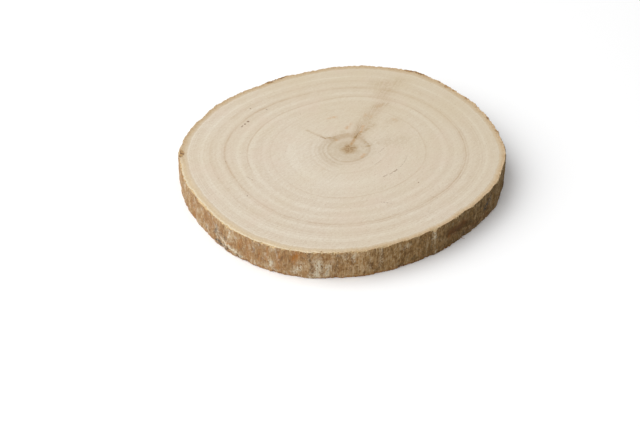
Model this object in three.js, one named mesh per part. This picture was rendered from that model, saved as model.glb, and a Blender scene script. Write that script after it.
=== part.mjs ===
// A wood slice: a flat disc sawn across a small trunk, with the bark left on its edge.
// Wood and bark grew as one piece, so it is one solid.
// Millimetres, +Z up. The origin is under the middle of the slice, on the surface that it rests on.
import * as THREE from "three";

// Driving dimensions.
const THICKNESS = 20; // between the two sawn faces
const NOMINAL_RADIUS = 100; // the turned blank's, before it takes the trunk's outline
const RIM_BREAK = 0.5; // how far the saw frayed the bark back along each edge
const BARK_SWELL = 0.5; // how far the bark swells out between the two edges

// The trunk's radius every 15 degrees, anticlockwise from +X: an egg shape with a flat on the
// left of its far side and another on the right of its near side.
const TRUNK_RADII = [
  105.5, 105.5, 105.5, 106.5, 108, 106, 102, 98.5, 96.5, 98.5, 101, 103.5,
  106, 104.5, 103.5, 104.5, 105.5, 104.5, 102, 99, 97, 97, 99, 103,
];

// Waves that make the bark's uneven contour: lobes round the slice, height in mm, starting
// angle in radians, and lean in radians per mm of height.
const BARK_WAVES = [
  { lobes: 13, height: 0.22, start: 0.4, lean: 0.01 },
  { lobes: 22, height: 0.18, start: 2.1, lean: -0.03 },
  { lobes: 37, height: 0.14, start: 4.4, lean: 0.05 },
  { lobes: 59, height: 0.1, start: 1.2, lean: -0.04 },
];

const SEGMENTS = 288; // round the slice

// The outline as a smooth closed curve through the trunk's radii.
function trunkOutline() {
  const step = (2 * Math.PI) / TRUNK_RADII.length;
  const points = TRUNK_RADII.map((radius, i) => new THREE.Vector3(
    radius * Math.cos(i * step),
    radius * Math.sin(i * step),
    0,
  ));
  return new THREE.CatmullRomCurve3(points, true, "catmullrom", 0.5);
}

// How far the bark stands out from the outline at an angle and a height.
function barkRelief(angle, z) {
  const waves = BARK_WAVES.map(({ lobes, height, start, lean }) =>
    height * Math.sin(lobes * angle + start + lean * z));
  return waves.reduce((sum, wave) => sum + wave, 0);
}

// Half of the slice's section, from the middle of its underside to the middle of its top.
function sectionProfile() {
  const side = (share, out) => new THREE.Vector2(NOMINAL_RADIUS + out, THICKNESS * share);
  return [
    new THREE.Vector2(0, 0),
    side(0, -RIM_BREAK),
    side(0.06, 0),
    side(0.28, BARK_SWELL * 0.8),
    side(0.5, BARK_SWELL),
    side(0.72, BARK_SWELL * 0.8),
    side(0.94, 0),
    side(1, -RIM_BREAK),
    new THREE.Vector2(0, THICKNESS),
  ];
}

// Turns the section into a round blank, then draws each vertex out to the trunk's outline.
function sliceGeometry() {
  const geometry = new THREE.LatheGeometry(sectionProfile(), SEGMENTS);
  geometry.rotateX(Math.PI / 2);
  const outline = trunkOutline();
  const position = geometry.getAttribute("position");
  for (let i = 0; i < position.count; i += 1) {
    const x = position.getX(i);
    const y = position.getY(i);
    const z = position.getZ(i);
    const reach = Math.hypot(x, y);
    const turn = (Math.atan2(y, x) / (2 * Math.PI) + 1) % 1;
    const onEdge = outline.getPoint(turn);
    const angle = Math.atan2(onEdge.y, onEdge.x);
    const isBark = reach > NOMINAL_RADIUS * 0.9;
    const trunk = Math.hypot(onEdge.x, onEdge.y);
    const radius = isBark
      ? trunk + (reach - NOMINAL_RADIUS) + barkRelief(angle, z)
      : (trunk * reach) / NOMINAL_RADIUS;
    position.setXY(i, radius * Math.cos(angle), radius * Math.sin(angle));
  }
  return geometry;
}

// Moves a geometry so that the middle of its underside is the origin.
function standOnOrigin(geometry) {
  geometry.computeBoundingBox();
  const { min, max } = geometry.boundingBox;
  geometry.translate(-(min.x + max.x) / 2, -(min.y + max.y) / 2, -min.z);
  geometry.computeVertexNormals();
  return geometry;
}

const sawnWood = new THREE.MeshStandardMaterial({
  color: 0xd9cbb6,
  roughness: 0.8,
  metalness: 0,
});

const woodSlice = new THREE.Mesh(standOnOrigin(sliceGeometry()), sawnWood);
woodSlice.name = "wood_slice";

const part = new THREE.Group();
part.add(woodSlice);

export default part;
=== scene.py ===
"""A wood slice: a flat disc sawn across a small trunk, lying on a pale floor with its bark still on.

The slice is one closed mesh. It is built as a chain of rings of vertices that runs from the pith out
over the top face, down the bark and back in under the slice to the pith. Its outline is read off the
CAD node. Lengths are in millimetres until the mesh is made. Angles are about the pith, except those
of the strokes on the bark, which are about the middle of the slice.
"""

import math

import bpy
import numpy as np
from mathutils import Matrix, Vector, noise


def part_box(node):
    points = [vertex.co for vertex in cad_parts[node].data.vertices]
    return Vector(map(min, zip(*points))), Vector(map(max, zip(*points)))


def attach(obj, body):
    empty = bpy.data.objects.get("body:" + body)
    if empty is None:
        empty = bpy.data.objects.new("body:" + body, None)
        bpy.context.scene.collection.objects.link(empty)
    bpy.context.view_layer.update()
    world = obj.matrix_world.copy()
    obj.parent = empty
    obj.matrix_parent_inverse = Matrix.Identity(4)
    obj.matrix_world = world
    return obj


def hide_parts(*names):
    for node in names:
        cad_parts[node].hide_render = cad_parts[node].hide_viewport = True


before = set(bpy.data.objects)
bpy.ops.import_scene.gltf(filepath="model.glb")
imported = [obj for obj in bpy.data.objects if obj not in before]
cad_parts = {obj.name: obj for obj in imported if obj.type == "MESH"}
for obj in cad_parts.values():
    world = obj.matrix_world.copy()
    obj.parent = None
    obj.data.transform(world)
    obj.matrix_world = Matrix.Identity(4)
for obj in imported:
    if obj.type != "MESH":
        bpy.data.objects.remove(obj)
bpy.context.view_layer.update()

# ---------------- driving values
MM = 0.001  # metres in a millimetre
SLICE_LOW, SLICE_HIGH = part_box("wood_slice")
THICKNESS = (SLICE_HIGH.z - SLICE_LOW.z) / MM
BARK_SWELL = 0.5  # how far the CAD slice swells out at mid height
MIDDLE_REACH = (SLICE_HIGH.x - SLICE_LOW.x) / MM / 2
SIDE_LIMIT = np.array([SLICE_HIGH.x, SLICE_HIGH.y]) / MM - 0.02  # the bark stays inside the CAD box
PITH = np.array([4.3, 4.4])  # the trunk's centre of growth, off the middle of the slice

COLUMNS = 1280  # vertices round the bark
BARK_ROWS = 34
ROW_SQUEEZE = 0.45  # how much closer the bark's rows lie near its two edges
TRUNK_LOBES = 9  # waves round the slice that the growth rings still follow

# How far the growth rings drift out, every 30 degrees from +X, as a share of the radius. Each row is
# for the rings at one share of the radius.
MID_DRIFT = [0.009, 0.008, -0.013, -0.015, -0.012, -0.015, -0.021, -0.006, 0.001, 0.007, 0.018, 0.022]
RING_DRIFT = [
    (0.02, [0] * 12),
    (0.13, [0, 0, 0, 0, -0.004, -0.01, -0.014, -0.012, -0.004, 0, 0, 0]),
    (0.48, MID_DRIFT),
    (0.64, MID_DRIFT),
    (0.73, [0.007, 0.006, -0.02, -0.019, -0.003, 0, -0.001, -0.016, -0.012, 0.004, 0.02, 0.02]),
    (0.84, [0.007, 0.002, -0.02, -0.012, -0.002, 0.002, 0, -0.012, -0.01, 0.004, 0.018, 0.02]),
    (0.955, [0.007, -0.003, -0.005, 0.004, -0.005, 0.005, -0.001, -0.007, 0, 0.01, 0.016, 0.011]),
    (1, [0] * 12),
]
CAMBIUM = 0.955  # share of the radius where the wood ends and the inner bark starts

# Rings of late wood: share of the radius, width of the soft inner side, darkness, azimuth in degrees
# where strongest, and what is left opposite. With nothing left it is an arc, out by 70 degrees away.
LATE_WOOD = [
    (0.09, 0.02, 0.5, 170, 0.5), (0.137, 0.018, 1.7, 240, 0.75), (0.158, 0.04, 0.8, 215, 0.5),
    (0.15, 0.018, 1.4, 100, 0), (0.172, 0.04, 1.6, 102, 0), (0.187, 0.03, 1.1, 200, 0),
    (0.166, 0.012, 1, 205, 0), (0.214, 0.012, 0.6, 190, 0), (0.248, 0.014, 0.4, 250, 0.2),
    (0.3, 0.02, 0.2, 250, 0.3), (0.345, 0.01, 0.25, 90, 0.2), (0.392, 0.014, 0.25, 160, 0.2),
    (0.43, 0.012, 0.2, 60, 0.2), (0.482, 0.008, 0.95, 330, 0.3), (0.545, 0.03, 0.3, 250, 0.4),
    (0.578, 0.012, 0.3, 290, 0.1), (0.617, 0.009, 1.4, 148, 0), (0.625, 0.009, 1.2, 62, 0),
    (0.63, 0.012, 0.45, 340, 0.5), (0.658, 0.01, 0.35, 300, 0.2), (0.7, 0.03, 0.5, 190, 0.45),
    (0.722, 0.007, 0.7, 10, 0.2), (0.736, 0.006, 0.9, 355, 0), (0.735, 0.013, 1.15, 215, 0.85),
    (0.742, 0.026, 0.75, 120, 0.45), (0.752, 0.01, 0.8, 330, 0.25), (0.79, 0.012, 0.4, 150, 0.4),
    (0.82, 0.022, 0.75, 150, 0.65), (0.838, 0.008, 0.65, 320, 0.25), (0.896, 0.007, 0.45, 270, 0.25),
    (0.912, 0.006, 0.5, 225, 0.3), (0.925, 0.006, 0.55, 215, 0.35), (0.938, 0.005, 0.5, 235, 0.4),
]
# Pale early wood: share of the radius, half width, paleness, azimuth where strongest, what is left.
EARLY_WOOD = [
    (0.34, 0.12, 0.45, 235, 0.2), (0.59, 0.03, 0.3, 40, 0.5), (0.668, 0.022, 0.5, 130, 0.7),
    (0.772, 0.016, 0.3, 240, 0.5), (0.868, 0.014, 0.85, 100, 0.6), (0.885, 0.006, 0.5, 230, 0.4),
    (0.947, 0.005, 0.35, 130, 0.4),
]

# Cracks in the faces, as points along them, with half their width and their depth at each point.
CRACKS = [
    {
        "points": [(5.9, 9.5), (8, 14.5), (9.3, 17.4), (10.9, 22.6), (13, 27), (14.6, 31)],
        "half_widths": [0.08, 0.2, 0.42, 0.3, 0.18, 0.06],
        "depths": [0.03, 0.08, 0.26, 0.2, 0.08, 0.02],
    },
    {
        "points": [(-10.6, 15.8), (-13.2, 17.8), (-16, 19.8), (-20, 22.8), (-22.6, 24.8)],
        "half_widths": [0.45, 0.3, 0.24, 0.18, 0.06],
        "depths": [0.36, 0.24, 0.2, 0.12, 0.03],
    },
]
CRACK_COLUMNS = 160  # the coarsest ring of vertices that has one on each crack
CRACK_SPREAD = math.radians(9)  # how far from a crack the columns are drawn towards it
CRACK_PULL = 0.65  # how strongly they are drawn

# Soft brown stains round the knot: both ends, width and strength.
STAINS = [
    ((8.6, 16.4), (9, 17.4), 1.9, 1.05), ((6, 9), (8.6, 16.4), 1.1, 0.8),
    ((9.2, 17.6), (12, 23.5), 1.5, 0.85), ((9, 20), (12.2, 31), 3, 0.52),
    ((12.2, 31), (14, 36.5), 3.4, 0.3), ((11, 20), (17, 27), 1.5, 0.72), ((17, 27), (21, 31.5), 2.4, 0.4),
    ((14, 25), (17.5, 34), 4, 0.34), ((16, 36), (19.5, 44), 5.2, 0.34), ((19, 43), (24, 51), 4.6, 0.32),
    ((21.5, 51.5), (29.5, 55.5), 2.6, 0.46), ((28, 55), (30, 62), 5, 0.22), ((28, 67), (32, 75), 6, 0.28),
    ((24, 79), (40, 83), 5, 0.24), ((26, 11), (40, 14), 4.5, 0.18), ((31, 35), (37, 37), 3, 0.18),
    ((-10.6, 15.8), (-7.4, 16.6), 1, 0.85), ((-5.4, 16.2), (-4.8, 17.6), 1.2, 0.75),
    ((-18, 21.2), (-23.2, 25.2), 0.9, 0.4), ((-16, 19.8), (-11, 16.2), 1, 0.55),
    ((11, 17), (16.6, 9.6), 2.2, 0.3), ((16.6, 7.2), (17.8, 7.8), 1.1, 1), ((17.8, 7.8), (19, 9), 0.7, 0.7),
    ((23.6, 10.4), (24, 11.4), 1.4, 0.38), ((0, 23), (1.4, 23.6), 1.3, 0.3),
    ((-4, 19), (4, 20.4), 2.2, 0.24),
]
# Small orange streaks of resin: both ends, width and strength.
RESIN = [
    ((3.4, 27), (4, 28.8), 1.2, 0.85), ((4.6, 30), (6.4, 33), 1.1, 0.3),
    ((-9.6, 38.2), (-5.4, 39.8), 0.8, 0.55), ((-5.4, 39.8), (-4.2, 40.2), 1, 0.9),
    ((-3.8, 13.4), (-3.6, 14.2), 0.8, 0.6), ((12.2, -4.8), (14.4, -1.6), 0.9, 0.85),
    ((8, 14.8), (6, 9.4), 0.9, 0.62), ((12.4, 23), (14.2, 30.6), 0.8, 0.75),
    ((15.6, 41), (16.4, 44), 1.2, 0.3), ((19, 40), (20, 42), 1.2, 0.2), ((34, 38.5), (36, 36.5), 1.3, 0.3),
    ((24, 52.6), (26.5, 54), 1.6, 0.18),
]
# Pin knots: middle and radius.
PIN_KNOTS = [
    ((-62, 35), 0.95), ((-64, 32), 0.75), ((-65.5, 30), 0.5), ((-66, 29), 0.6), ((-61, 50), 0.55),
    ((-50, 49), 0.5), ((-60, -46), 0.5), ((48, -32), 0.5), ((-75, -10), 0.35),
]
# Short scratches, each a line of torn pores: both ends, half its width and how dark it is.
SCRATCHES = [
    ((34.6, -18.4), (32.6, -20.8), 0.55, 0.8), ((31.6, -21.8), (30, -23.4), 0.45, 0.5),
    ((28.4, -23.8), (26, -26), 0.45, 0.55), ((42.2, -3), (39.6, -10.6), 0.4, 0.28),
    ((39.4, -11.4), (36, -17), 0.3, 0.38), ((27, 4.8), (23.6, 0.2), 0.45, 0.26),
    ((24.8, -8.6), (20.8, -12.8), 0.45, 0.26), ((24, -52.5), (30, -53.5), 0.45, 0.45),
    ((55, -46), (60, -49), 0.3, 0.4), ((-61, -26), (-57, -29.5), 0.36, 0.35),
]
# Where dark outer bark shows on the top face: azimuth and half span in degrees, depth, and how far
# it stands out of the outline.
SLIVERS = [
    (60.5, 4.6, 2.2, 0.6), (65, 2.6, 2.6, 0.4), (124.6, 2.2, 4.2, 0.6), (119, 4.4, 1.5, 0.5),
    (47, 1.5, 3.6, 0.3), (43, 1.6, 1.8, 0.2), (51, 1.6, 1.6, 0.1), (36, 1.6, 2.2, 0.3), (29, 1, 1.4, 0.2),
    (20.5, 1.4, 2, 0.3), (11.5, 1.7, 2, 0.3), (4, 1.2, 1.3, 0.2), (355, 1, 1.4, 0.1), (182.8, 3, 4.4, 0.3),
    (96, 1, 1.1, 0.1), (150, 0.8, 1.2, 0.1), (260.5, 1.3, 1.8, 0), (16, 0.8, 1.3, 0.1), (74, 0.9, 1.1, 0),
    (250.5, 0.8, 1.3, 0.1),
]

# Strokes of colour on the bark: both ends as azimuth in degrees and height, width, and strength.
LICHEN_STROKES = [
    ((207, 3), (207, 9.5), 1.6, 0.6), ((214, 6), (216, 3.5), 1.3, 0.5), ((221.5, 3), (222, 8.5), 1.4, 1.1),
    ((221, 9), (221.6, 12.5), 1.4, 0.7), ((222.6, 7), (231, 3.8), 1.2, 1.3),
    ((225.4, 8.4), (228.4, 8), 0.8, 1), ((227.6, 12.6), (228.6, 17), 0.8, 1.2),
    ((232.6, 2.4), (233.6, 2), 0.9, 1.4), ((244.6, 4.2), (245.4, 8.2), 1.3, 1.3),
    ((246.4, 1.6), (247, 3), 1, 0.9), ((253.5, 4), (256, 10), 1.9, 0.95),
    ((258.5, 1.5), (260, 4), 1.5, 0.9), ((261, 3), (261.6, 11.5), 2.6, 1.1),
    ((264, 2.5), (264.6, 9.5), 1.8, 1), ((260.5, 13), (262, 16), 1.5, 0.5),
    ((273.2, 13), (273.4, 16.5), 1.1, 0.9), ((270.5, 15), (271, 17), 1, 0.5),
    ((283, 5), (283.2, 18), 0.9, 0.5), ((279, 4), (279.2, 15), 0.6, 0.4), ((292, 14), (294, 16), 1.4, 0.4),
    ((305.2, 13.5), (305, 18.5), 1.1, 0.7), ((305.4, 1.5), (305.6, 3), 0.8, 1.1),
]
ORANGE_STROKES = [
    ((204.5, 1), (207, 12), 1.6, 0.55), ((226.5, 6), (228, 7), 1.8, 1), ((233, 10), (233.6, 15.5), 1.6, 1),
    ((236, 3), (237, 17), 1.6, 0.5), ((240.5, 5), (241, 16), 0.8, 0.7), ((243.5, 8), (244, 18), 0.8, 0.7),
    ((247.6, 3), (248.2, 18), 1, 0.7), ((253.2, 12.5), (254.4, 18.5), 2.2, 1.3),
    ((257.4, 12), (257.2, 18), 0.6, 0.6), ((213, 1.5), (219, 1), 0.8, 0.6),
    ((234, 0.8), (256, 0.8), 0.8, 0.6), ((262, 0.6), (300, 0.8), 0.8, 0.7),
    ((313, 10.2), (321, 10.8), 2.6, 1.5), ((322, 4), (336, 3.5), 1.4, 0.8),
]
DARK_STROKES = [
    ((220.4, 8), (221.4, 13.6), 1.2, 1.3), ((223, 10.8), (226.4, 10.2), 1.1, 1.3),
    ((220.6, 3.2), (227, 2.2), 1, 2.4), ((231.4, 2.4), (232.6, 2), 0.8, 1.8),
    ((233.6, 9.5), (234, 14.5), 1.3, 0.7), ((258.8, 12), (258.2, 18), 0.8, 1),
    ((259, 4), (259.3, 10), 0.6, 0.9), ((262.6, 3), (262.9, 10), 0.5, 0.8),
    ((267.5, 3), (267.8, 18), 0.8, 0.6), ((282.2, 6), (282.3, 17), 0.5, 0.6),
    ((289.5, 1.2), (291.5, 1.4), 0.6, 1.2), ((305.7, 12.5), (305.9, 14), 0.6, 1.1),
    ((304, 3), (304.2, 16), 0.5, 0.6), ((314.5, 9), (319, 10), 1.6, 0.5), ((320, 3), (330, 3), 1.2, 0.5),
    ((333.5, 9), (336.5, 14), 2, 1.4),
]
STRAY_STROKES = 26  # of each colour, at random on the back, from this azimuth to the next
STRAY_FROM, STRAY_TO = 4, 192
SCAR_AZIMUTH = math.radians(301.7)  # an old branch scar, a pale upright ridge
SCAR_HALF_WIDTH = 1.7
# A strip of bark broke off low on the right: azimuth about the middle, and height of its lower lip.
STRIP_LIP = [(310, 9.4), (321, 6.6), (328, 3.9)]
# Where the saw tore the bark further down from the top: azimuth and half span in degrees, and height.
NOTCHES = [(301.7, 1.3, 2.6), (281, 1.8, 1.6), (212.5, 4.5, 1.9), (205, 2, 1.4), (244.5, 1.2, 1.5)]


# ---------------- small tools
def smoothstep(value, low, high):
    """0 below low, 1 above high, and smooth between them."""
    part = np.clip((value - low) / (high - low), 0, 1)
    return part * part * (3 - 2 * part)


def wrapped(angle):
    """An angle in radians, brought between minus and plus half a turn."""
    return (angle + math.pi) % math.tau - math.pi


def heading(turns):
    """The flat directions at those angles in radians."""
    return np.stack([np.cos(turns), np.sin(turns)], -1)


def azimuths_about(middle, points):
    """Each point's azimuth about a middle, in degrees."""
    return np.degrees(np.arctan2(points[:, 1] - middle[1], points[:, 0] - middle[0]))


def spans_off(azimuths, azimuth, half_span):
    """How far azimuths in degrees lie from one of them, in half spans."""
    return np.abs((azimuths - azimuth + 180) % 360 - 180) / half_span


def fractal(points, size, octaves, seed):
    """Fractal noise, about -1 to 1, with lumps of that size along X, Y and Z."""
    spots = points / np.asarray(size, float) + 31.7 * seed
    return np.array([noise.fractal(spot, 1.0, 2.0, octaves) for spot in spots.tolist()])


def plates(points, size, seed):
    """Random plates: how far each point is from its plate's edge, and the plate's number."""
    spots = points / np.asarray(size, float) + 17.3 * seed
    edges = []
    middles = []
    for spot in spots.tolist():
        distances, nearest = noise.voronoi(spot)
        edges.append(distances[1] - distances[0])
        middles.append(nearest[0])
    mixed = np.sin(np.array(middles) @ np.array([12.99, 78.23, 37.72])) * 43758.5
    return np.array(edges), mixed % 1


def low_waves(values, lobes):
    """A closed row of values, with its waves fading out above that many round."""
    waves = np.fft.rfft(values)
    waves *= np.exp(-((np.arange(len(waves)) / lobes) ** 4))
    return np.fft.irfft(waves, len(values))


def from_stroke(points, start, end):
    """How far each point is from the straight line between start and end."""
    start = np.asarray(start, float)
    along = np.asarray(end, float) - start
    part = np.clip((points - start) @ along / (along @ along), 0, 1)
    return np.linalg.norm(points - start - part[:, None] * along, axis=1)


def inside_box(points):
    """The points, with any that stand out of the CAD box's sides brought back to them."""
    held = points.copy()
    held[:, :2] = np.clip(points[:, :2], -SIDE_LIMIT, SIDE_LIMIT)
    return held


# ---------------- the slice's form
def trunk_reach(turns):
    """How far the CAD slice reaches from the pith at mid height, in each direction."""
    corners = np.array([vertex.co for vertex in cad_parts["wood_slice"].data.vertices]) / MM
    waist = corners[np.abs(corners[:, 2] - THICKNESS / 2) < 0.1]
    away = waist[:, :2] - PITH
    azimuths = np.arctan2(away[:, 1], away[:, 0])
    order = np.argsort(azimuths)
    return np.interp(turns, azimuths[order], np.hypot(*away.T)[order], period=math.tau)


TURNS = np.arange(COLUMNS) * math.tau / COLUMNS
REACH = trunk_reach(TURNS)
TRUNK_REACH = low_waves(REACH, TRUNK_LOBES)
DRIFT_SHARES = [share for share, _ in RING_DRIFT]
DRIFT = np.array([
    low_waves(np.interp(TURNS, np.radians(np.arange(12) * 30), row, period=math.tau), TRUNK_LOBES)
    for _, row in RING_DRIFT
])


def crack_course(crack):
    """A crack's radii and azimuths about the pith, along its points."""
    away = np.array(crack["points"]) - PITH
    return np.hypot(*away.T), np.arctan2(away[:, 1], away[:, 0])


def drawn_to_cracks(turns, radii):
    """Column directions, shifted so that each crack has close columns along it."""
    step = math.tau / CRACK_COLUMNS
    for crack in CRACKS:
        course_radii, azimuths = crack_course(crack)
        azimuth = np.interp(radii, course_radii, azimuths)
        column = round(azimuths.mean() / step) * step
        off = wrapped(turns - column)
        near = np.exp(-((off / CRACK_SPREAD) ** 2)) * (1 - smoothstep(radii, 42, 58))
        turns = turns + near * (azimuth - column - CRACK_PULL * off)
    return turns


def crack_opening(turns, radii):
    """How strongly a crack shows at each place, 0 to 1, and how deep it goes there."""
    openness = np.zeros(len(turns))
    depth = np.zeros(len(turns))
    for crack in CRACKS:
        course_radii, azimuths = crack_course(crack)
        azimuth = np.interp(radii, course_radii, azimuths)
        half_width = np.interp(radii, course_radii, crack["half_widths"])
        inside = (radii > course_radii[0] - 0.5) & (radii < course_radii[-1] + 0.5)
        sideways = radii * np.abs(wrapped(turns - azimuth))
        here = np.clip(1.35 - sideways / half_width, 0, 1) * inside
        course_depth = np.interp(radii, course_radii, crack["depths"])
        openness = np.maximum(openness, here * np.clip(0.3 + course_depth / 0.7, 0, 1))
        depth = np.maximum(depth, here * course_depth)
    return openness, depth


def torn_edge(seed, notches=()):
    """How deep and how tall the saw tore the bark away along one edge, for each column."""
    rim = np.column_stack([heading(TURNS) * MIDDLE_REACH, np.zeros(COLUMNS)])
    broad = fractal(rim, (9, 9, 9), 2, seed)
    fine = fractal(rim, (2.0, 2.0, 2.0), 3, seed + 1)
    ragged = fractal(rim, (0.9, 0.9, 0.9), 2, seed + 2)
    torn = np.clip(0.3 + 0.35 * broad + 0.9 * fine, 0, 1)
    depth = 0.2 + 0.95 * torn + 0.45 * ragged
    height = 0.3 + 1.4 * torn**2 + 0.8 * np.clip(fine + ragged, 0, 1)
    for azimuth, half_span, tall in notches:
        sideways = spans_off(np.degrees(TURNS), azimuth, half_span)
        near = 1 - smoothstep(sideways + 0.3 * fine, 0.4, 1.1)
        depth = np.maximum(depth, 0.7 * near)
        height = np.maximum(height, tall * near)
    return np.maximum(depth, 0.1), height


TOP_TEAR = torn_edge(3, NOTCHES)
BOTTOM_TEAR = torn_edge(7)


def scar_at(turns):
    """1 along the branch scar's crest, falling to 0 at its sides."""
    sideways = np.abs(wrapped(turns - SCAR_AZIMUTH)) * MIDDLE_REACH
    return 1 - smoothstep(sideways, 0.3 * SCAR_HALF_WIDTH, SCAR_HALF_WIDTH)


def sliver_rise(points):
    """How far the slivers of outer bark stand out of the outline, most at the top."""
    azimuths = azimuths_about(PITH, points)
    rise = np.zeros(len(points))
    for azimuth, half_span, _, out in SLIVERS:
        sideways = spans_off(azimuths, azimuth, half_span)
        rise = np.maximum(rise, out * (1 - smoothstep(sideways, 0.5, 1.2)))
    return rise * smoothstep(points[:, 2] / THICKNESS, 0.3, 0.9)


def broken_strip(points):
    """How deep the hollow of the broken strip is at each place, and how near its lip is."""
    azimuths = azimuths_about((0, 0), points) % 360
    above = points[:, 2] - np.interp(azimuths, *zip(*STRIP_LIP)) + 0.7 * fractal(points, (3, 3, 3), 2, 31)
    along = smoothstep(azimuths, 308, 312) * (1 - smoothstep(azimuths, 323, 329))
    hollow = along * smoothstep(above, 0.0, 0.6) * (1 - smoothstep(above, 2.0, 7.0))
    return hollow, along * np.exp(-((above / 0.45) ** 2))


def bark_lumps(points):
    """The swells of the trunk under the bark, which reach both edges."""
    return 0.22 * fractal(points, (13, 13, 20), 2, 1) + 0.26 * fractal(points, (4.5, 4.5, 12), 2, 9)


def bark_relief(points, turns):
    """How far the bark stands out at each place on it."""
    seams = np.abs(fractal(points, (2.8, 2.8, 10), 3, 2))
    furrows = -0.26 * np.clip(1 - seams / 0.16, 0, 1)
    fibres = 0.16 * fractal(points, (1.1, 1.1, 5), 2, 4)
    edge, number = plates(points, (3.4, 3.4, 5.0), 5)
    flakes = 0.3 * (number - 0.45) * smoothstep(edge, 0.0, 0.16) * (number > 0.3)
    knobs = 0.24 * np.clip(fractal(points, (1.5, 1.5, 2.0), 2, 6), 0, 1)
    hollow, _ = broken_strip(points)
    return furrows + fibres + flakes + knobs + 0.4 * scar_at(turns) - 0.65 * hollow


def bark_ring(depth_below_top):
    """One row of the bark: its vertices, how much the saw tore each one, and its relief."""
    height = THICKNESS - depth_below_top
    flat = PITH + heading(TURNS) * (REACH - BARK_SWELL)[:, None]
    points = np.column_stack([flat, np.full(COLUMNS, height)])
    bite = np.zeros(COLUMNS)
    for (depth, tall), from_edge in ((TOP_TEAR, depth_below_top), (BOTTOM_TEAR, height)):
        bite = np.maximum(bite, depth * np.clip(1 - from_edge / tall, 0, 1) ** 0.7)
    relief = bark_relief(points, TURNS)
    quiet = smoothstep(np.full(COLUMNS, min(depth_below_top, height)), -1.0, 1.6)
    out = bark_lumps(points) + relief * quiet - bite + sliver_rise(points)
    points[:, :2] += heading(TURNS) * out[:, None]
    return inside_box(points), np.clip(bite / 0.45, 0, 1), relief


def face_ring(share, count, rim, top):
    """One ring of a sawn face, at that share of the way from the pith to the rim of the face."""
    pick = slice(None, None, COLUMNS // count)
    turns = drawn_to_cracks(TURNS[pick], share * TRUNK_REACH[pick])
    trunk = np.interp(turns, TURNS, TRUNK_REACH, period=math.tau)
    rim_reach = np.linalg.norm(rim[pick, :2] - PITH, axis=1)
    follow = smoothstep(share, 0.9, 1.0)
    radii = share * (trunk * (1 - follow) + rim_reach * follow)
    flat = PITH + heading(turns) * radii[:, None]
    points = np.column_stack([flat, np.zeros(count)])
    openness, depth = crack_opening(turns, radii)
    in_bark = smoothstep(share, CAMBIUM - 0.004, CAMBIUM + 0.012)
    sunk = depth + 0.02 + 0.02 * fractal(points, (6, 6, 6), 2, 11)
    if in_bark > 0:
        rough = np.clip(0.5 + 0.7 * fractal(points, (1.6, 1.6, 1.6), 3, 12), 0, 1)
        sunk = sunk + in_bark * (0.06 + 0.3 * rough * share**8)
    sunk = np.clip(sunk, 0, None)
    points[:, 2] = THICKNESS - sunk if top else sunk
    return points, openness


# ---------------- the chain of rings
# Rings of vertices of the top face, inside the bark: from this radius to the next, how far apart, and
# the vertices on each.
FACE_RINGS = [(0.5, 3, 0.5, 80), (3, 9, 0.6, 160), (9, 46, 0.95, 320), (46, 93, 1.9, 640)]
# Rings of the underside, which has fewer: share of the radius, and the vertices on each.
UNDER_RINGS = [
    (0.99, 1280), (0.975, 1280), (0.955, 640), (0.92, 640), (0.86, 640), (0.76, 320), (0.64, 320),
    (0.52, 320), (0.4, 320), (0.3, 160), (0.22, 160), (0.15, 160), (0.1, 80), (0.05, 80),
]


def top_rings():
    """Each ring of the top face: its share of the radius, and the vertices on it."""
    radius = TRUNK_REACH.mean()
    rings = [(r / radius, count) for *span, count in FACE_RINGS for r in np.arange(*span)]
    return rings + [(share, COLUMNS) for share in np.linspace(0.905, 1.0, 12)[:-1]]


def bark_depths():
    """How far below the top each row of the bark lies, closer together near the two edges."""
    part = np.linspace(0, 1, BARK_ROWS + 1)
    return THICKNESS * (part - ROW_SQUEEZE * np.sin(math.tau * part) / math.tau)


def bridged(inner, outer):
    """Faces between two neighbouring rings of the chain, where one may have twice the other's vertices.
    Both are rows of vertex numbers, and the faces look out of the slice."""
    count = min(len(inner), len(outer))
    here = np.arange(count)
    there = (here + 1) % count
    if len(inner) == len(outer):
        return [tuple(f) for f in np.stack([outer[here], outer[there], inner[there], inner[here]], 1)]
    wide, even, middle = max(len(inner), len(outer)), 2 * here, 2 * here + 1
    after = (2 * here + 2) % wide
    if len(outer) > len(inner):
        corners = np.stack([outer[even], outer[middle], inner[here]], 1)
        slabs = np.stack([outer[middle], outer[after], inner[there], inner[here]], 1)
    else:
        corners = np.stack([outer[here], inner[middle], inner[even]], 1)
        slabs = np.stack([outer[here], outer[there], inner[after], inner[middle]], 1)
    return [tuple(f) for f in corners] + [tuple(f) for f in slabs]


VERTEX_VALUES = (
    "ring_share", "crack", "torn", "relief", "stain", "resin", "sliver", "lichen", "orange", "dark",
)


class Shell:
    """The slice's vertices, faces and per-vertex values, gathered ring by ring."""

    def __init__(self):
        self.points = []
        self.faces = []
        self.zones = []  # top, bark, under or splinter for each face
        self.values = {name: [] for name in VERTEX_VALUES}
        self.count = 0

    def add_points(self, points, **values):
        """Adds vertices and returns their numbers."""
        numbers = np.arange(self.count, self.count + len(points))
        self.points.append(points)
        for name, rows in self.values.items():
            rows.append(np.broadcast_to(values.get(name, 0.0), (len(points),)))
        self.count += len(points)
        return numbers

    def add_faces(self, faces, zone):
        self.faces += faces
        self.zones += [zone] * len(faces)


def spread_over(points, strokes):
    """How strongly soft strokes of colour tint each place: the strongest one there counts."""
    tint = np.zeros(len(points))
    for start, end, width, strength in strokes:
        away = from_stroke(points[:, :2], start, end)
        tint = np.maximum(tint, strength * np.exp(-((away / width) ** 2)))
    return tint


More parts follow.
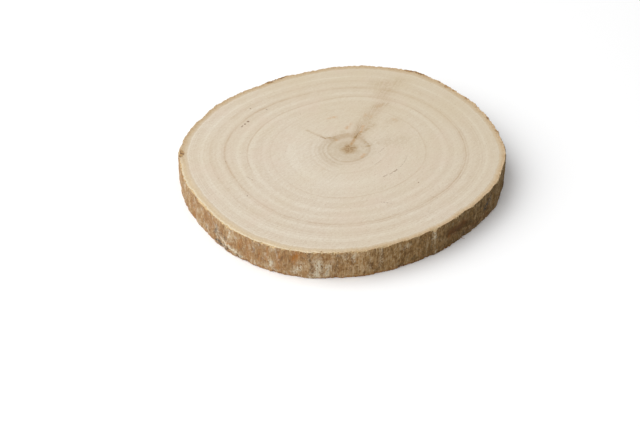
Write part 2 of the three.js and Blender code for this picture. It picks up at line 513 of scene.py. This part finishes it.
def sliver_at(points, share):
    """How much outer bark shows on the top face at each place near its rim."""
    azimuths = azimuths_about(PITH, points)
    inward = (1 - share) * TRUNK_REACH.mean()
    shown = np.zeros(len(points))
    for azimuth, half_span, depth, _ in SLIVERS:
        sideways = spans_off(azimuths, azimuth, half_span)
        shown = np.maximum(shown, np.clip(1.2 * (1 - sideways**2 - inward / depth), 0, 1))
    return shown


def face_values(points, openness, share, count, top):
    """The per-vertex values of one ring of a sawn face."""
    return {
        "ring_share": ring_share_of(share, count),
        "crack": openness,
        "stain": spread_over(points, STAINS),
        "resin": spread_over(points, RESIN),
        "sliver": sliver_at(points, share) if top else 0.0,
    }


def stray_strokes(seed):
    """Random strokes of colour for the back of the trunk."""
    random = np.random.default_rng(seed)
    strokes = []
    for _ in range(STRAY_STROKES):
        azimuth = random.uniform(STRAY_FROM, STRAY_TO)
        height = random.uniform(-2, THICKNESS)
        end = (azimuth + random.normal(0, 2.0), height + random.uniform(1, 8))
        strokes.append(((azimuth, height), end, random.uniform(0.6, 3.0), random.uniform(0.3, 0.9)))
    return strokes


def marks_on_bark(points, strokes):
    """How strongly the bark's strokes of one colour show at each place on it."""
    azimuths = azimuths_about((0, 0), points) % 360
    unroll = np.array([math.radians(1) * MIDDLE_REACH, 1])
    crooked = np.stack([fractal(points, (2.2, 2.2, 2.8), 3, seed) for seed in (21, 22)], 1)
    unrolled = np.column_stack([azimuths, points[:, 2]]) * unroll + crooked * (1.3, 1.8)
    flat = [(start * unroll, end * unroll, width, strength) for start, end, width, strength in strokes]
    return spread_over(unrolled, flat)


def bark_values(points, torn, relief):
    """The per-vertex values of one row of the bark."""
    _, lip = broken_strip(points)
    near_top = smoothstep(points[:, 2] / THICKNESS, 0.55, 1.0)
    return {
        "ring_share": 1.0,
        # Along the lip of the broken strip the torn-fibre paleness is a painted highlight where light
        # catches the ledge.
        "torn": np.maximum(torn, 0.52 * lip),
        "relief": relief,
        "sliver": smoothstep(sliver_rise(points), 0, 0.6) * near_top,
        "lichen": marks_on_bark(points, LICHEN_STROKES + stray_strokes(51)),
        "orange": marks_on_bark(points, ORANGE_STROKES + stray_strokes(52)),
        "dark": marks_on_bark(points, DARK_STROKES + stray_strokes(53)),
    }


def ring_share_of(share, count):
    """The share that the growth rings see at a place, once they have drifted in or out there."""
    drift = [np.interp(share, DRIFT_SHARES, column) for column in DRIFT[:, :: COLUMNS // count].T]
    return share - np.array(drift)


def slice_shell():
    """The whole closed slice."""
    shell = Shell()
    depths = bark_depths()
    bark = [bark_ring(depth) for depth in depths]
    middle = shell.add_points(np.array([[*PITH, THICKNESS - 0.02]]))
    last = None
    for share, count in top_rings():
        points, openness = face_ring(share, count, bark[0][0], True)
        ring = shell.add_points(points, **face_values(points, openness, share, count, True))
        if last is None:
            fan = [(middle[0], ring[i], ring[(i + 1) % count]) for i in range(count)]
            shell.add_faces(fan, "top")
        else:
            shell.add_faces(bridged(last, ring), "top")
        last = ring
    zone = "top"
    for points, torn, relief in bark:
        ring = shell.add_points(points, **bark_values(points, torn, relief))
        shell.add_faces(bridged(last, ring), zone)
        last = ring
        zone = "bark"
    for share, count in UNDER_RINGS:
        points, openness = face_ring(share, count, bark[-1][0], False)
        ring = shell.add_points(points, **face_values(points, openness, share, count, False))
        shell.add_faces(bridged(last, ring), "under")
        last = ring
    middle = shell.add_points(np.array([[*PITH, 0.02]]))
    fan = [(middle[0], last[(i + 1) % len(last)], last[i]) for i in range(len(last))]
    shell.add_faces(fan, "under")
    return shell


# ---------------- splinters
SPLINTERS = 230
LONG_SPLINTER_AZIMUTH = 315.2
SPLINTER_SIDES = 3
SPLINTER_TAPER = [(0, 0.8), (0.35, 1), (0.7, 0.6)]  # share of the length, share of the thickness
SPLINTER_VALUES = {"torn": 1, "ring_share": 1}


def add_splinter(shell, root, way, thickness, bend):
    """One torn fibre: a small closed spindle that starts inside the bark and thins to a point.
    The way from its root is as long as the fibre."""
    sideways = np.cross(way, (0.3, 0.2, 0.93))
    sideways /= np.linalg.norm(sideways)
    upward = np.cross(way, sideways) / np.linalg.norm(way)
    turns = np.arange(SPLINTER_SIDES) * math.tau / SPLINTER_SIDES
    section = np.outer(np.cos(turns), sideways) + np.outer(np.sin(turns), upward)
    rings = []
    for part, width in SPLINTER_TAPER:
        middle = root + way * part + bend * part**2
        points = inside_box(middle + section * thickness * width / 2)
        rings.append(shell.add_points(points, **SPLINTER_VALUES))
    start = shell.add_points(np.array([root - 0.15 * way]), **SPLINTER_VALUES)[0]
    end = inside_box(np.array([root + way + bend]))
    tip = shell.add_points(end, **SPLINTER_VALUES)[0]
    faces = []
    for i in range(SPLINTER_SIDES):
        j = (i + 1) % SPLINTER_SIDES
        faces.append((start, rings[0][i], rings[0][j]))
        faces += [(low[i], high[i], high[j], low[j]) for low, high in zip(rings, rings[1:])]
        faces.append((rings[-1][i], tip, rings[-1][j]))
    shell.add_faces(faces, "splinter")


def add_splinters(shell):
    """Torn fibres at random along both edges of the bark, and one long one low on the right."""
    random = np.random.default_rng(41)
    for _ in range(SPLINTERS):
        column = random.integers(COLUMNS)
        out = np.array([*heading(TURNS[column]), 0])
        along = np.array([-out[1], out[0], 0])
        on_top = random.random() < 0.6
        tear = (TOP_TEAR if on_top else BOTTOM_TEAR)[0][column]
        reach = REACH[column] - 0.75 - tear
        depth = random.uniform(0.25, 0.8)
        root = np.array([*PITH, 0]) + out * reach
        root[2] = THICKNESS - depth if on_top else depth + 0.15
        length = random.uniform(0.6, 1.7)
        rise = random.uniform(-0.1, depth - 0.15) if on_top else random.uniform(-0.1, 0.1)
        way = out * random.uniform(0.35, 1.0) + along * random.normal(0, 0.8)
        way *= length / np.linalg.norm(way)
        way[2] = rise
        bend = along * random.normal(0, 0.25)
        add_splinter(shell, root, way, random.uniform(0.1, 0.24), bend)
    column = round(LONG_SPLINTER_AZIMUTH / 360 * COLUMNS)
    out = np.array([*heading(TURNS[column]), 0])
    root = np.array([*PITH, 0.9]) + out * (REACH[column] - 1.2)
    way = 2.6 * out + (1.2, -0.3, 0.2)
    add_splinter(shell, root, way, 0.42, np.array([0.4, 0, 0.2]))


# ---------------- the mesh
# Where each part of the surface lies on the slice's flat map.
MAP_SIZE = 1024  # steps along each side of the map
TOP_MAP = ((352, 352), 3.23)  # middle, and steps per millimetre
UNDER_MAP = ((862, 160), 1.4)
BARK_STRIPS = 3
BARK_MAP = (12, 710, 1000, 95, 105)  # left, bottom, width, height and distance from strip to strip
SPLINTER_MAP = (715, 330, 12, 22, 24)  # left, bottom, size of each splinter's place, and places in a row


def bark_places(points):
    """Map places of the bark's faces, four corners each. The bark lies on the map in strips."""
    away = points[:, :2] - PITH
    part = (np.arctan2(away[:, 1], away[:, 0]) / math.tau % 1).reshape(-1, 4)
    part = part + (part < part.max(1, keepdims=True) - 0.5)
    strip = np.floor(part.min(1, keepdims=True) * BARK_STRIPS + 1e-4)
    left, bottom, width, height, pitch = BARK_MAP
    across = left + (part * BARK_STRIPS - strip) * width
    up = bottom + strip * pitch + points[:, 2].reshape(-1, 4) / THICKNESS * height
    return np.stack([across.ravel(), up.ravel()], 1)


def splinter_places(corner_vertices, first, per_splinter):
    """Map places of the splinters' corners: each splinter has a small place of its own."""
    number, corner = divmod(corner_vertices - first, per_splinter)
    left, bottom, wide, tall, row = SPLINTER_MAP
    ring, side = divmod(corner, SPLINTER_SIDES)
    across = left + (number % row + 0.15 + 0.23 * side) * wide
    up = bottom + (number // row + 0.15 + 0.2 * ring) * tall
    return np.stack([across, up], 1)


def slice_mesh():
    """The Blender mesh of the slice, with its map, its per-vertex values and its two materials."""
    shell = slice_shell()
    first_splinter = shell.count
    add_splinters(shell)
    mesh = bpy.data.meshes.new("wood_slice_visual")
    points = np.concatenate(shell.points)
    mesh.from_pydata((points * MM).tolist(), [], [[int(v) for v in face] for face in shell.faces])
    for name, rows in shell.values.items():
        attribute = mesh.attributes.new(name, "FLOAT", "POINT")
        attribute.data.foreach_set("value", np.concatenate(rows).astype(np.float32))
    zones = np.array(shell.zones)
    corners = np.zeros(len(mesh.loops), np.int32)
    mesh.loops.foreach_get("vertex_index", corners)
    corner_zones = np.repeat(zones, [len(face) for face in shell.faces])
    places = np.zeros((len(corners), 2))
    for zone, (middle, scale) in (("top", TOP_MAP), ("under", UNDER_MAP)):
        here = corner_zones == zone
        places[here] = points[corners[here], :2] * scale + middle
    here = corner_zones == "bark"
    places[here] = bark_places(points[corners[here]])
    here = corner_zones == "splinter"
    per_splinter = SPLINTER_SIDES * len(SPLINTER_TAPER) + 2
    places[here] = splinter_places(corners[here], first_splinter, per_splinter)
    layer = mesh.uv_layers.new(name="OFBake")
    layer.uv.foreach_set("vector", (places / MAP_SIZE).astype(np.float32).ravel())
    is_bark = np.isin(zones, ("bark", "splinter"))
    mesh.polygons.foreach_set("material_index", is_bark.astype(np.int32))
    mesh.polygons.foreach_set("use_smooth", np.ones(len(zones), bool))
    mesh.materials.append(sawn_face())
    mesh.materials.append(bark())
    mesh.update()
    mesh.validate()
    mesh.set_sharp_from_angle(angle=math.radians(48))
    return mesh


# ---------------- materials
def srgb(red, green, blue):
    """A colour given in 0 to 255 steps, as the shader's numbers."""
    parts = [channel / 255 for channel in (red, green, blue)]
    linear = [part / 12.92 if part <= 0.04045 else ((part + 0.055) / 1.055) ** 2.4 for part in parts]
    return (*linear, 1.0)


class Value:
    """What the shader works out at each point. Single numbers take +, - and *."""

    def __init__(self, nodes, socket):
        self.nodes = nodes
        self.socket = socket

    def __add__(self, other):
        return self.nodes.math("ADD", self, other)

    def __sub__(self, other):
        return self.nodes.math("SUBTRACT", self, other)

    def __rsub__(self, other):
        return self.nodes.math("SUBTRACT", other, self)

    def __mul__(self, other):
        return self.nodes.math("MULTIPLY", self, other)

    def swing(self, size):
        """A value of 0 to 1, as a swing of that size in all about 0."""
        return self * size - size / 2

    def span(self, low, high, to_low=0, to_high=1):
        """The value's way from low to high, smoothed at both ends."""
        inputs = {"Value": self, "From Min": low, "From Max": high, "To Min": to_low, "To Max": to_high}
        return self.nodes.add("MapRange", inputs, interpolation_type="SMOOTHSTEP")


class Nodes:
    """A material's shader nodes, and the colour that its coats have made so far."""

    def __init__(self, name, colour=None):
        self.material = bpy.data.materials.new(name)
        self.material.use_nodes = True
        self.tree = self.material.node_tree
        self.colour = colour

    def add(self, kind, inputs, output=0, **settings):
        """Adds a node. Each input is a number, a tuple or another node's value."""
        node = self.tree.nodes.new("ShaderNode" + kind)
        for name, value in settings.items():
            setattr(node, name, value)
        for key, value in inputs.items():
            self.feed(node.inputs[key], value)
        return Value(self, node.outputs[output])

    def feed(self, socket, value):
        if isinstance(value, Value):
            self.tree.links.new(value.socket, socket)
        else:
            socket.default_value = value

    def math(self, operation, first, second=0):
        return self.add("Math", {0: first, 1: second}, operation=operation)

    def vector(self, operation, first, second=(0, 0, 0)):
        return self.add("VectorMath", {0: first, 1: second}, operation=operation)

    def dot(self, first, second):
        return self.add("VectorMath", {0: first, 1: second}, 1, operation="DOT_PRODUCT")

    def length(self, vector):
        return self.add("VectorMath", {0: vector}, 1, operation="LENGTH")

    def flat_from(self, point, place):
        """The way from a point on the slice to each place, as seen from above."""
        return self.vector("MULTIPLY", self.vector("SUBTRACT", place, (*point, 0)), (1, 1, 0))

    def grain(self, place, size, detail=3, roughness=0.55):
        """Noise from 0 to 1 with lumps of that size along X, Y and Z."""
        spot = self.vector("DIVIDE", place, size)
        return self.add("TexNoise", {"Vector": spot, "Scale": 1, "Detail": detail, "Roughness": roughness})

    def bands(self, value, scale, detail=2):
        """Noise from 0 to 1 along a single value."""
        return self.add("TexNoise", {"W": value, "Scale": scale, "Detail": detail}, noise_dimensions="1D")

    def mix(self, share, first, second):
        """The first colour where the share is 0, and the second where it is 1."""
        return self.add("Mix", {0: share, 6: first, 7: second}, 2, data_type="RGBA")

    def paint(self, colour, share):
        """Lays a coat of a colour over the others, which hides them as far as the share says."""
        self.colour = self.mix(share, self.colour, colour)

    def value(self, name):
        """One of the mesh's per-vertex values."""
        return self.add("Attribute", {}, 2, attribute_name=name)

    def place(self):
        """Where the point is on the slice, in millimetres."""
        return self.vector("DIVIDE", self.add("TexCoord", {}, 3), (MM, MM, MM))

    def finish(self, roughness, specular, bumps=()):
        """Links everything to the shader and returns the material. A bump is a height from 0 to 1, the
        millimetres that it stands for, and a strength."""
        inputs = self.tree.nodes["Principled BSDF"].inputs
        self.feed(inputs["Base Color"], self.colour)
        self.feed(inputs["Roughness"], roughness)
        self.feed(inputs["Specular IOR Level"], specular)
        under = {}
        for height, millimetres, strength in bumps:
            bump = {"Height": height, "Distance": millimetres * MM, "Strength": strength}
            under = {"Normal": self.add("Bump", {**bump, **under})}
            self.feed(inputs["Normal"], under["Normal"])
        return self.material


EARLY_WOOD_COLOUR = srgb(213, 204, 187)
LATE_WOOD_COLOUR = srgb(156, 118, 78)
WARM_WOOD = srgb(198, 182, 152)
ROSY_WOOD = srgb(204, 184, 166)
NEAR_PITH = srgb(154, 124, 84)
PITH_TINT = srgb(172, 150, 118)
PITH_CORE = srgb(168, 138, 98)
PITH_HEART = srgb(136, 102, 60)
STAIN_COLOUR = srgb(158, 128, 86)
RESIN_COLOUR = srgb(188, 142, 94)
CRACK_COLOUR = srgb(136, 102, 68)
INNER_BARK = srgb(188, 165, 132)
INNER_BARK_PALE = srgb(214, 195, 164)
CREAM_EDGE = srgb(230, 216, 188)
OUTER_RIND = srgb(174, 136, 96)
CAMBIUM_COLOUR = srgb(186, 162, 126)
SLIVER_COLOUR = srgb(176, 140, 92)
SLIVER_DARK = srgb(118, 86, 56)
PIN_KNOT_COLOUR = srgb(112, 80, 58)


def ring_tone(nodes, share, outward):
    """How dark the wood is at a share of the radius: fainter rings everywhere, then the named ones."""

    def around(strength, azimuth, left):
        toward = (*heading(math.radians(azimuth)), 0)
        end = -0.9 if left else 0.45
        return nodes.dot(outward, toward).span(end, 0.85, left * strength, strength)

    fine = nodes.bands(share, 80, 3).swing(1.3)
    tone = nodes.bands(share, 24).swing(0.9) + fine * share.span(0.4, 0.95, 0.15, 0.5)
    for at, soft, darkness, azimuth, left in LATE_WOOD:
        rise = share.span(at - soft, at)
        fall = share.span(at, at + 0.4 * soft + 0.004, 1, 0)
        tone += rise * fall * around(darkness, azimuth, left)
    for at, half_width, paleness, azimuth, left in EARLY_WOOD:
        off = nodes.math("ABSOLUTE", share - at)
        tone += off.span(half_width, 0) * around(-paleness, azimuth, left)
    return tone


def marks_on_face(nodes, place):
    """How strongly the pin knots and the scratches mark each place."""
    marks = 0
    for middle, size in PIN_KNOTS:
        off = nodes.length(nodes.flat_from(middle, place))
        marks = nodes.math("MAXIMUM", marks, off.span(1.3 * size, 0.4 * size, 0, 0.85))
    broken = nodes.grain(place, (0.9, 0.9, 4), 1).span(0.4, 0.56)
    for start, end, half_width, darkness in SCRATCHES:
        along = np.array(end, float) - start
        from_start = nodes.flat_from(start, place)
        part = nodes.add("Clamp", {"Value": nodes.dot(from_start, (*along / (along @ along), 0))})
        on_line = nodes.add("VectorMath", {0: (*along, 0), "Scale": part}, operation="SCALE")
        off = nodes.length(nodes.vector("SUBTRACT", from_start, on_line))
        scratch = off.span(1.4 * half_width, 0.3 * half_width, 0, darkness)
        marks = nodes.math("MAXIMUM", marks, scratch * broken)
    return marks


def sawn_face():
    """End grain: rings of late wood round the pith, stains at the knot, and inner bark at the rim."""
    nodes = Nodes("sawn_face")
    place = nodes.place()
    away = nodes.flat_from(PITH, place)
    radius = nodes.length(away)
    outward = nodes.vector("NORMALIZE", away)
    slow = nodes.grain(place, (18, 18, 60), 2)
    quick = nodes.grain(place, (4, 4, 12), 2)
    share = nodes.value("ring_share") + slow.swing(0.014) + quick.swing(0.005)

    # Growth rings, which fade and return along their way round.
    fading = nodes.grain(place, (14, 14, 40), 2).span(0.25, 0.75, 0.55, 1.2)
    rings = ring_tone(nodes, share, outward) * fading * 0.2

    # Rays, pores and saw marks.
    ray_turn = nodes.vector("MULTIPLY", outward, (70, 70, 0))
    ray_way = nodes.vector("MULTIPLY", away, (0.09, 0.09, 0))
    rays = nodes.grain(nodes.vector("ADD", ray_turn, ray_way), (1, 1, 1), 3, 0.6)
    pores = nodes.grain(place, (0.55, 0.55, 1.5), 3, 0.7)
    speckle = nodes.grain(place, (1.6, 1.6, 5), 3, 0.65)
    stroke, feed = nodes.dot(place, (0.77, -0.64, 0)), nodes.dot(place, (0.64, 0.77, 0))
    saw = nodes.grain(nodes.add("CombineXYZ", {"X": stroke, "Y": feed}), (1.2, 9, 1), 2, 0.5)
    tone = rings + rays.swing(0.1) + pores.swing(0.5) + speckle.swing(0.4) + saw.swing(0.28) + 0.2
    late = nodes.mix(radius.span(17, 26), NEAR_PITH, LATE_WOOD_COLOUR)
    nodes.colour = nodes.mix(tone, EARLY_WOOD_COLOUR, late)
    # Random warm patches of the wood, and painted shade: the face is painted darker and warmer towards the
    # back right.
    patches = nodes.grain(place, (34, 34, 60), 2).span(0.3, 0.7, 0, 0.22)
    nodes.paint(WARM_WOOD, patches + nodes.dot(away, (0.42, 0.9, 0)).span(-20, 90, 0, 0.4))
    nodes.paint(ROSY_WOOD, nodes.grain(place, (20, 20, 60)).span(0.45, 0.75, 0, 0.3))

    # The pith, the stains at the knot and the cracks.
    uneven = nodes.grain(place, (2.6, 2.6, 8)).span(0.25, 0.75, 0.45, 1.1)
    nodes.paint(PITH_TINT, (radius.span(14.5, 12, 0, 0.38) + radius.span(9, 4, 0, 0.34)) * uneven)
    spots = nodes.grain(place, (1.5, 1.5, 5), 3, 0.6)
    arms = nodes.grain(nodes.vector("MULTIPLY", outward, (1.1, 1.1, 0)), (1, 1, 1), 1)
    core = radius + arms.swing(6) + spots.swing(5)
    nodes.paint(PITH_CORE, core.span(7, 2.2, 0, 0.58))
    nodes.paint(PITH_HEART, core.span(5.2, 1.6) * spots.span(0.58, 0.42, 0.1, 0.66))
    streaks = (rays * 0.6 + speckle * 0.4).span(0.35, 0.63, 0.3, 1.5)
    nodes.paint(STAIN_COLOUR, nodes.value("stain") * streaks * 0.8)
    nodes.paint(RESIN_COLOUR, nodes.value("resin") * streaks * 0.62)
    crack = nodes.value("crack") + quick * 1.1 - 0.75
    nodes.paint(CRACK_COLOUR, crack.span(0.05, 0.8, 0, 0.85))
    nodes.paint(PIN_KNOT_COLOUR, marks_on_face(nodes, place))

    # Inner bark at the rim, softly set off from the wood, and slivers of outer bark. On the near left the
    # rim is painted paler and creamier: partly frayed fibres, partly a painted highlight where it faces the
    # light.
    ragged = share + nodes.grain(place, (1.2, 1.2, 4), 4).swing(0.008)
    fibres = nodes.grain(place, (0.9, 0.9, 3), 4, 0.7)
    lit_frayed_left = nodes.dot(outward, (-0.69, -0.72, 0)).span(0.62, 0.9)
    in_bark = ragged.span(CAMBIUM - 0.006, CAMBIUM + 0.026)
    paler = fibres.span(0.3, 0.72, -0.15, 0.45) + lit_frayed_left * 0.45 + ragged.span(0.985, 1, 0, 0.25)
    rind = nodes.mix(paler, INNER_BARK, INNER_BARK_PALE)
    # Painted highlight: a cream line along the rim on the near left, over its frayed fibres.
    rind = nodes.mix(ragged.span(0.982, 0.998, 0, 0.85) * lit_frayed_left, rind, CREAM_EDGE)
    browner = ragged.span(0.974, 1, 0, 0.7) * fibres.span(0.62, 0.4)
    nodes.paint(nodes.mix(browner * (1 - lit_frayed_left), rind, OUTER_RIND), in_bark)
    line_rise = ragged.span(CAMBIUM - 0.004, CAMBIUM + 0.002, 0, 0.35)
    nodes.paint(CAMBIUM_COLOUR, line_rise * ragged.span(CAMBIUM + 0.004, CAMBIUM + 0.014, 1, 0))
    sliver = nodes.value("sliver") + fibres * 1.9 - 0.98
    brown = nodes.mix(spots.span(0.42, 0.58), SLIVER_DARK, SLIVER_COLOUR)
    nodes.paint(brown, sliver.span(0.15, 0.5, 0, 0.92))

    rough = pores.span(0.2, 0.8, 0.7, 0.88) + in_bark * 0.06
    return nodes.finish(rough, 0.25, [(saw, 0.1, 0.5), (pores, 0.12, 0.6), (fibres * in_bark, 0.5, 0.8)])


BARK_DARK = srgb(80, 60, 36)
BARK_MIDDLE = srgb(154, 126, 84)
BARK_LIGHT = srgb(198, 178, 144)
BARK_WARM_LIT = srgb(172, 132, 94)
BARK_ASH = srgb(206, 193, 174)
BARK_UMBER_SHADED = srgb(88, 63, 27)
BARK_GREY = srgb(146, 136, 112)
BARK_GOLD = srgb(172, 124, 72)
LICHEN = srgb(214, 204, 180)
CORK_ORANGE = srgb(168, 110, 50)
CORK_RED = srgb(108, 68, 32)
BARK_BLACK = srgb(58, 57, 57)
BARK_SLATE_SHADED = srgb(92, 82, 62)
TORN_FIBRE = srgb(216, 194, 152)
TORN_ORANGE = srgb(158, 108, 62)


def bark():
    """Young bark: short upright fibres and scaly flecks, with lichen, orange cork and dark flecks."""
    nodes = Nodes("bark")
    place = nodes.place()
    around = nodes.vector("NORMALIZE", nodes.flat_from((0, 0), place))
    relief = nodes.value("relief")
    upright = nodes.grain(place, (0.8, 0.8, 4.6), 4, 0.62)
    thread = nodes.grain(place, (0.5, 0.5, 7), 4, 0.6)
    speckle = nodes.grain(place, (0.8, 0.8, 1.2), 4, 0.75)
    patch = nodes.grain(place, (5.5, 5.5, 6), 4, 0.6)
    stripe = nodes.grain(place, (2.4, 2.4, 18), 2)
    broad = nodes.grain(place, (22, 22, 26), 2)
    hue = nodes.grain(nodes.vector("ADD", place, (40, 0, 9)), (1.7, 1.7, 2.4), 4, 0.7)
    shake = nodes.add("TexNoise", {"Vector": place, "Scale": 0.6}, 1)
    shaken = nodes.vector("ADD", place, nodes.vector("MULTIPLY", shake, (1.6, 1.6, 1.6)))
    scale_place = nodes.vector("DIVIDE", shaken, (1.3, 1.3, 1.7))
    scale = nodes.dot(nodes.add("TexVoronoi", {"Vector": scale_place, "Scale": 1}, 1), (1, 0, 0))

    # Lightness of the fibres and scales, and the side of the trunk that they are on: the left is painted
    # lighter and the right darker, partly the bark's own colour and partly painted light and painted shade.
    left = nodes.dot(around, (-0.9, -0.44, 0)).span(0.1, 0.95)
    right = nodes.dot(around, (0.98, -0.2, 0)).span(0.2, 0.95)
    front = nodes.dot(around, (0.2, -0.98, 0)).span(0.75, 1)
    tone = upright * 0.95 + thread + stripe * 0.7 + speckle * 1.1 + scale * 0.3
    # The relief term darkens furrows and hollows as painted shade, and lightens raised bark.
    tone += patch * 0.35 + broad * 0.45 + relief * 0.35 - right * 0.05 - 1.91
    nodes.colour = nodes.mix(tone.span(0.18, 0.5), BARK_DARK, BARK_MIDDLE)
    nodes.paint(BARK_LIGHT, tone.span(0.5, 0.9))
    nodes.paint(BARK_GOLD, hue.span(0.56, 0.72, 0, 0.55))
    nodes.paint(BARK_GREY, hue.span(0.44, 0.28, 0, 0.5))
    # Painted light on the left, towards the lamp, over the bark's own paler, warmer colour.
    nodes.paint(BARK_WARM_LIT, left * tone.span(0.9, 0.3, 0.3, 0.7))
    nodes.paint(BARK_GOLD, front * 0.22)
    nodes.paint(BARK_ASH, left * (hue * 0.6 + patch * 0.4).span(0.5, 0.62, 0, 0.55))
    # Painted shade on the right, away from the lamp, over the bark's own darker, more olive colour.
    nodes.paint(BARK_UMBER_SHADED, right * broad.span(0.3, 0.7, 0.4, 0.7))
    nodes.paint(BARK_SLATE_SHADED, right * hue.span(0.5, 0.34, 0, 0.6))

    # Orange cork, pale lichen and black flecks, which lie in patches.
    cork = (nodes.value("orange") + patch.span(0.42, 0.3) * 0.35) * upright.span(0.36, 0.6, 0.45, 1)
    # The cork turns darker red on the right: partly its own colour, partly painted shade.
    nodes.paint(nodes.mix(right, CORK_ORANGE, CORK_RED), cork * 0.72)
    crust = nodes.value("lichen") + patch.span(0.62, 0.8) * 0.35
    nodes.paint(LICHEN, crust * (speckle + scale * 0.14).span(0.46, 0.62) * 0.78)
    fleck = nodes.value("dark") + patch.span(0.4, 0.24) * 0.4
    nodes.paint(BARK_BLACK, fleck * speckle.span(0.62, 0.42) * (1 - left * 0.3) * 0.8)
    # Painted shade in the bark's furrows and hollows, where the relief is low.
    nodes.paint(BARK_DARK, relief.span(-0.05, -0.35, 0, 0.4))
    sliver = nodes.value("sliver")
    shown = (sliver + patch.swing(2) + upright.swing(1.6)).span(0.25, 0.75, 0, 0.65)
    nodes.paint(SLIVER_COLOUR, shown * sliver.span(0, 0.2))

    # Torn fibres along both edges, orange-brown along the lower one.
    low = nodes.dot(place, (0, 0, 1)).span(0.35 * THICKNESS, 0.15 * THICKNESS)
    fibre = nodes.mix(low * 0.8 + thread.span(0.62, 0.4, 0, 0.4), TORN_FIBRE, TORN_ORANGE)
    torn = nodes.value("torn") + speckle * 0.8 - 0.5
    nodes.paint(fibre, torn.span(0.25, 0.75, 0, 0.95))

    rough = speckle.span(0.25, 0.75, 0.8, 0.95)
    return nodes.finish(rough, 0.12, [(upright, 0.6, 0.8), (thread, 0.3, 0.7), (speckle, 0.45, 0.9)])


# ---------------- the object
def placed(name, data):
    """A new object in the scene."""
    made = bpy.data.objects.new(name, data)
    bpy.context.scene.collection.objects.link(made)
    return made


slice_piece = placed("wood_slice_visual", slice_mesh())
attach(slice_piece, "root")
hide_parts("wood_slice")


# ---------------- floor, light and camera
FLOOR_HALF = 6.0
FLOOR_COLOUR = (0.93, 0.93, 0.93, 1)
KEY_POWER = 38.0
KEY_SIZE = 2.2
KEY_AZIMUTH = math.radians(190)
KEY_ELEVATION = math.radians(50)
KEY_DISTANCE = 1.8
WORLD_STRENGTH = 0.56


def floor():
    mesh = bpy.data.meshes.new("floor")
    corners = [(-1, -1), (1, -1), (1, 1), (-1, 1)]
    mesh.from_pydata([(x * FLOOR_HALF, y * FLOOR_HALF, 0) for x, y in corners], [], [(0, 1, 2, 3)])
    mesh.materials.append(Nodes("floor_paint", FLOOR_COLOUR).finish(0.9, 0.1))
    placed("floor", mesh)


def key_light():
    """A square soft light that looks at the slice."""
    light = bpy.data.lights.new("key", "AREA")
    light.size = KEY_SIZE
    light.energy = KEY_POWER
    across = math.cos(KEY_ELEVATION)
    flat = [math.cos(KEY_AZIMUTH) * across, math.sin(KEY_AZIMUTH) * across]
    away = Vector((*flat, math.sin(KEY_ELEVATION)))
    lamp = placed("key", light)
    lamp.location = away * KEY_DISTANCE
    lamp.rotation_euler = away.to_track_quat("Z", "Y").to_euler()


def studio():
    world = bpy.data.worlds.new("studio")
    world.use_nodes = True
    background = world.node_tree.nodes["Background"].inputs
    background["Color"].default_value = (1, 1, 1, 1)
    background["Strength"].default_value = WORLD_STRENGTH
    bpy.context.scene.world = world
    bpy.context.scene.view_settings.view_transform = "Standard"
    key_light()


CAMERA_LENS = 100.0
CAMERA_DISTANCE = 1.1
CAMERA_PITCH = math.radians(38)
CAMERA_AIM = Vector((-0.0144, -0.064, 0.02))


def camera():
    data = bpy.data.cameras.new("camera")
    data.lens = CAMERA_LENS
    data.clip_start = 0.01
    back = Vector((0, -math.cos(CAMERA_PITCH), math.sin(CAMERA_PITCH)))
    made = placed("camera", data)
    made.location = CAMERA_AIM + back * CAMERA_DISTANCE
    made.rotation_euler = back.to_track_quat("Z", "Y").to_euler()
    bpy.context.scene.camera = made


floor()
studio()
camera()
